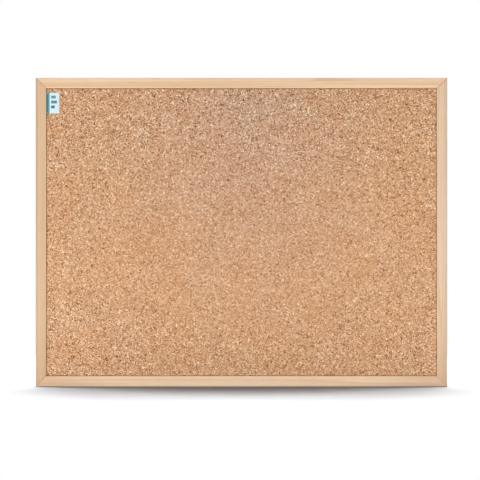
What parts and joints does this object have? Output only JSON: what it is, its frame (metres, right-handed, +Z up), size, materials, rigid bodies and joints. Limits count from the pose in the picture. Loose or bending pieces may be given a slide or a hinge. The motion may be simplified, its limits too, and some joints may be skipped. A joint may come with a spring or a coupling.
{
  "type": "cork board",
  "caption": "Landscape cork notice board in a mitred pine frame, with a softboard core and D-ring hangers on the back.",
  "frame": {"origin": "middle of the top rail's flat back face, in the plane of the wall", "axes": "+X to the right seen from the front, the cork faces -Y, the back faces +Y towards the wall, +Z up"},
  "size_m": [0.8, 0.0204, 0.6],
  "materials": {
    "pine": "sanded, unvarnished",
    "cork": "matt, fine granules pressed together",
    "softboard": "matt fibres",
    "kraft_paper": "matt",
    "label_paper": "coated paper",
    "bright_steel": "bright",
    "zinc_steel": "zinc plated"
  },
  "bodies": {
    "board": {"top_rail": "pine", "bottom_rail": "pine", "left_stile": "pine", "right_stile": "pine", "cork_sheet": "cork", "softboard_core": "softboard", "backing_liner": "kraft_paper", "corner_label": "label_paper", "v_nail_top_left_1": "bright_steel", "v_nail_top_left_2": "bright_steel", "v_nail_top_right_1": "bright_steel", "v_nail_top_right_2": "bright_steel", "v_nail_bottom_left_1": "bright_steel", "v_nail_bottom_left_2": "bright_steel", "v_nail_bottom_right_1": "bright_steel", "v_nail_bottom_right_2": "bright_steel", "retainer_point_top_1": "bright_steel", "retainer_point_top_2": "bright_steel", "retainer_point_top_3": "bright_steel", "retainer_point_top_4": "bright_steel", "retainer_point_bottom_1": "bright_steel", "retainer_point_bottom_2": "bright_steel", "retainer_point_bottom_3": "bright_steel", "retainer_point_bottom_4": "bright_steel", "retainer_point_left_1": "bright_steel", "retainer_point_left_2": "bright_steel", "retainer_point_left_3": "bright_steel", "retainer_point_right_1": "bright_steel", "retainer_point_right_2": "bright_steel", "retainer_point_right_3": "bright_steel", "hanger_strap_left": "zinc_steel", "hanger_strap_right": "zinc_steel", "hanger_screw_left": "zinc_steel", "hanger_screw_right": "zinc_steel"},
    "left_ring": {"hanger_ring_left": "zinc_steel"},
    "right_ring": {"hanger_ring_right": "zinc_steel"}
  },
  "joints": [
    {"name": "left_ring_swing", "type": "hinge", "parent": "board", "child": "left_ring", "pos_m": [-0.393, 0.00225, -0.143], "axis": [1, 0, 0], "range_deg": [0, 180]},
    {"name": "right_ring_swing", "type": "hinge", "parent": "board", "child": "right_ring", "pos_m": [0.393, 0.00225, -0.143], "axis": [1, 0, 0], "range_deg": [0, 180]}
  ]
}
